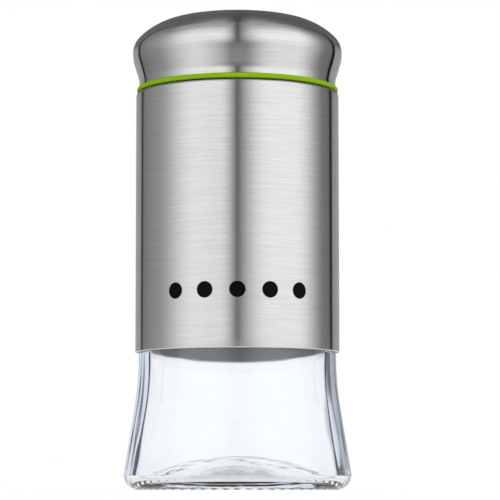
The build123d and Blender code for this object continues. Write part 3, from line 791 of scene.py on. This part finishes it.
def makeWorld(s):
    world = bpy.data.worlds.new("studioLight")
    world.use_nodes = True
    bpy.context.scene.world = world
    tree = world.node_tree
    direction = addNode(tree, "ShaderNodeTexCoord")
    axes = addNode(tree, "ShaderNodeSeparateXYZ", {0: direction.outputs["Generated"]})
    path = addNode(tree, "ShaderNodeLightPath")
    values = {"x": axes.outputs[0], "y": axes.outputs[1], "z": axes.outputs[2],
              "mirrored": path.outputs["Is Glossy Ray"], "refracted": path.outputs["Is Transmission Ray"],
              "sharp": path.outputs["Is Singular Ray"], "surfaces": path.outputs["Transmission Depth"]}
    leftEdge, rightEdge = s["glassEdge"]["left"], s["glassEdge"]["right"]
    # each row is a new value's name, what makes it and from what; a fade runs between two angles
    rows = [
        ("towards", "MULTIPLY", "y", -1),
        ("right", "ARCTAN2", "x", "towards"),
        ("left", "MULTIPLY", "right", -1),
        ("away", "ABSOLUTE", "right", 0),
        ("height", "ARCSINE", "z", 0),
        ("glassy", "MAXIMUM", "refracted", "sharp"),  # only the glass mirrors sharply
    ]
    for side in ("left", "right"):
        bank = s[side + "Bank"]
        flagStart, flagEnd = bank["flag"]
        edge, streakEdge = s["glassEdge"][side], s["glassEdge"]["streakEdge"]
        streakStart, streakEnd = edge["streak"]
        rows += [
            (side + "Screen", "fade", side, (flagEnd - s["flagEdge"], flagEnd), 0, 1),
            (side + "Edge", "fade", side, (flagStart, flagStart + s["flagEdge"]), 0, 1),
            (side + "Flag", "SUBTRACT", side + "Edge", side + "Screen"),
            (side + "Lamp", "fade", side, bank["fall"], bank["strength"], 0),
            (side + "Wall", "fade", side, s["wallFade"], bank["wall"], bank["wallEnd"]),
            (side + "Lit", "ADD", side + "Lamp", side + "Wall"),
            (side + "Rise", "fade", side, bank["rise"], 0, 1),
            (side + "Start", "POWER", side + "Rise", s["bankEdge"]),
            (side + "Bank", "MULTIPLY", side + "Lit", side + "Start"),
            (side + "StreakIn", "fade", side, (streakStart, streakStart + streakEdge), 0, edge["streakLoss"]),
            (side + "StreakOut", "fade", side, (streakEnd - streakEdge, streakEnd), 0, edge["streakLoss"]),
            (side + "Streak", "SUBTRACT", side + "StreakIn", side + "StreakOut"),
        ]
    rows += [
        ("banks", "ADD", "leftBank", "rightBank"),
        ("topShare", "fade", "height", s["bankTop"]["fade"], 1, s["bankTop"]["share"]),
        ("footShare", "fade", "away", s["bankFoot"]["spread"], *s["bankFoot"]["shares"]),
        ("footRise", "fade", "height", s["bankFoot"]["rise"], 0, 1),
        ("lowShare", "MAXIMUM", "footShare", "footRise"),
        ("banksBelow", "MULTIPLY", "banks", "topShare"),
        ("front", "MULTIPLY", "banksBelow", "lowShare"),
        ("aside", "ABSOLUTE", "x", 0),
        ("asideShare", "DIVIDE", "aside", s["overhead"]["gap"]),
        ("asideEdge", "MINIMUM", "asideShare", 1),
        ("behind", "ARCTAN2", "y", "z"),
        ("panelBack", "fade", "behind", s["overhead"]["back"], s["overhead"]["strength"], 0),
        ("panelRise", "fade", "height", s["overhead"]["rise"], 0, 1),
        ("panel", "MULTIPLY", "panelBack", "panelRise"),
        ("overhead", "MULTIPLY", "panel", "asideEdge"),
        ("lowFill", "fade", "height", s["bankFoot"]["rise"], s["bankFoot"]["fill"], 0),
        ("filled", "MAXIMUM", "front", "lowFill"),
        ("lamps", "MAXIMUM", "filled", "overhead"),
        ("frontRoom", "ADD", "lamps", s["room"]),
        ("oneWall", "LESS_THAN", "surfaces", s["oneWall"]),
        ("glassEdge", "MULTIPLY", "glassy", "oneWall"),
        ("toRight", "GREATER_THAN", "right", 0),
        ("rightLoss", "MULTIPLY", "toRight", leftEdge["share"] - rightEdge["share"]),
        ("sideLoss", "ADD", "rightLoss", 1 - leftEdge["share"]),
        ("streakRise", "fade", "height", leftEdge["flare"], leftEdge["flareShare"], 1),
        ("leftGrey", "MULTIPLY", "leftStreak", "streakRise"),
        ("flareRise", "fade", "height", rightEdge["flare"], 0, 1),
        ("aboveFlare", "SUBTRACT", 1, "flareRise"),
        ("rightHigh", "MULTIPLY", "rightStreak", "aboveFlare"),
        ("flareEdge", "fade", "right", rightEdge["flareEdge"], *rightEdge["flareLoss"]),
        ("flareSide", "MULTIPLY", "flareEdge", "toRight"),
        ("rightLow", "MULTIPLY", "flareSide", "flareRise"),
        ("rightRim", "fade", "right", rightEdge["rim"], 0, rightEdge["rimLoss"]),
        ("highStreaks", "ADD", "leftGrey", "rightHigh"),
        ("streaks", "ADD", "highStreaks", "rightLow"),
        ("streakLoss", "ADD", "streaks", "rightRim"),
        ("edgeLoss", "ADD", "sideLoss", "streakLoss"),
        ("wallLoss", "MULTIPLY", "edgeLoss", "oneWall"),
        ("wallShare", "SUBTRACT", 1, "wallLoss"),
        ("glassShare", "fade", "away", s["glassRoom"]["spread"], *s["glassRoom"]["shares"]),
        ("steelBehind", "GREATER_THAN", "surfaces", s["steelBehind"]),
        ("noSteel", "SUBTRACT", 1, "steelBehind"),
        ("clearGlass", "MULTIPLY", "glassy", "noSteel"),
        ("throughRoom", "MULTIPLY", "glassShare", "wallShare"),
        ("glassRoom", "MULTIPLY", "clearGlass", "throughRoom"),
        ("lit", "MAXIMUM", "frontRoom", "glassRoom"),
        ("bothFlags", "ADD", "leftFlag", "rightFlag"),
        ("flagTop", "fade", "height", s["flagTop"], 1, 0),
        ("flags", "MULTIPLY", "bothFlags", "flagTop"),
        ("open", "SUBTRACT", 1, "flags"),
        ("flagged", "MULTIPLY", "lit", "open"),
        ("metalTop", "fade", "height", s["backdrop"]["topInMetal"], s["backdrop"]["inMetal"], 0),
        ("glassTop", "fade", "height", s["backdrop"]["topInGlass"], s["backdrop"]["inGlass"], 0),
        ("notGlassy", "SUBTRACT", 1, "glassy"),
        ("brushed", "MULTIPLY", "mirrored", "notGlassy"),
        ("inMetal", "MULTIPLY", "brushed", "metalTop"),
        ("throughWall", "MULTIPLY", "glassTop", "wallShare"),
        ("inGlass", "MULTIPLY", "glassy", "throughWall"),
        ("shown", "MAXIMUM", "inMetal", "inGlass"),
        ("screens", "ADD", "leftScreen", "rightScreen"),
        ("backdrop", "MULTIPLY", "screens", "shown"),
        ("light", "MAXIMUM", "flagged", "backdrop"),
    ]
    for name, made, first, second, *ends in rows:
        first = values.get(first, first)
        if made == "fade":
            begin, end = (math.radians(angle) for angle in second)
            node = addNode(tree, "ShaderNodeMapRange", {0: first, 1: begin, 2: end, 3: ends[0], 4: ends[1]},
                           interpolation_type="SMOOTHSTEP")
        else:
            node = addNode(tree, "ShaderNodeMath", {0: first, 1: values.get(second, second)}, operation=made)
        values[name] = node.outputs[0]
    # the camera sees white all round
    seen = addNode(tree, "ShaderNodeMix", {0: path.outputs["Is Camera Ray"], 2: values["light"], 3: 1.0})
    tint = addNode(tree, "ShaderNodeMix",
                   {0: values["glassEdge"], 6: (1, 1, 1, 1), 7: toLinear(s["glassEdge"]["tint"])},
                   data_type="RGBA")
    tree.links.new(tint.outputs[2], tree.nodes["Background"].inputs["Color"])
    tree.links.new(seen.outputs[0], tree.nodes["Background"].inputs["Strength"])
    print("studio light set")


# Pale floor: a matt sheet that takes the shadow, lifted towards white where it is looked at
paleFloor = {"width": 340, "front": 200, "back": 520, "depth": 0.05, "colour": "#e9e9e9", "shade": "#e4e4e4",
             "patch": 60, "lift": 0.6, "roughness": 0.9}


def makeFloor(s):
    material, tree, shader = newMaterial("paleFloorSheet")
    coords = addNode(tree, "ShaderNodeTexCoord")
    patch = addNode(tree, "ShaderNodeTexNoise",
                    {"Vector": coords.outputs["Object"], "Scale": 1 / (s["patch"] * mm), "Detail": 2.0})
    colour = addNode(tree, "ShaderNodeMix",
                     {0: patch.outputs[0], 6: toLinear(s["shade"]), 7: toLinear(s["colour"])},
                     data_type="RGBA")
    path = addNode(tree, "ShaderNodeLightPath")
    mirrored = addNode(tree, "ShaderNodeMath",
                       {0: path.outputs["Is Glossy Ray"], 1: path.outputs["Is Transmission Ray"]},
                       operation="MAXIMUM")
    looked = addNode(tree, "ShaderNodeMath", {0: path.outputs["Is Camera Ray"], 1: mirrored.outputs[0]},
                     operation="MAXIMUM")
    lift = addNode(tree, "ShaderNodeMath", {0: looked.outputs[0], 1: s["lift"]}, operation="MULTIPLY")
    tree.links.new(colour.outputs[2], shader.inputs["Base Color"])
    tree.links.new(lift.outputs[0], shader.inputs["Emission Strength"])
    shader.inputs["Emission Color"].default_value = (1, 1, 1, 1)
    shader.inputs["Roughness"].default_value = s["roughness"]
    shader.inputs["Specular IOR Level"].default_value = 0.0
    bm = bmesh.new()
    bmesh.ops.create_grid(bm, x_segments=1, y_segments=1, size=0.5)
    bmesh.ops.scale(bm, verts=bm.verts, vec=(s["width"] * mm, (s["front"] + s["back"]) * mm, 1))
    bmesh.ops.translate(bm, verts=bm.verts, vec=(0, (s["back"] - s["front"]) / 2 * mm, -s["depth"] * mm))
    mesh = bpy.data.meshes.new("pale_floor")
    bm.to_mesh(mesh)
    bm.free()
    mesh.materials.append(material)
    floor = bpy.data.objects.new("pale_floor", mesh)
    bpy.context.scene.collection.objects.link(floor)
    print("floor laid")


# Camera: just above the floor, looking up a little, with the jar's axis left of the middle
viewpoint = {"distance": 620, "height": 2, "pitch": 5.44, "lens": 175.2, "sensor": 36, "axisPixel": 237.4,
             "imagePixels": 500, "clipStart": 10}


def makeCamera(s):
    data = bpy.data.cameras.new("frontCamera")
    data.sensor_width, data.lens = s["sensor"], s["lens"]
    data.shift_x = 0.5 - s["axisPixel"] / s["imagePixels"]
    data.clip_start = s["clipStart"] * mm
    camera = bpy.data.objects.new("frontCamera", data)
    camera.location = (0, -s["distance"] * mm, s["height"] * mm)
    camera.rotation_euler = (math.radians(90 + s["pitch"]), 0, 0)
    bpy.context.scene.collection.objects.link(camera)
    bpy.context.scene.camera = camera
    print("camera placed")


makeWorld(studio)
makeFloor(paleFloor)
makeCamera(viewpoint)
bpy.context.scene.view_settings.view_transform = "Standard"
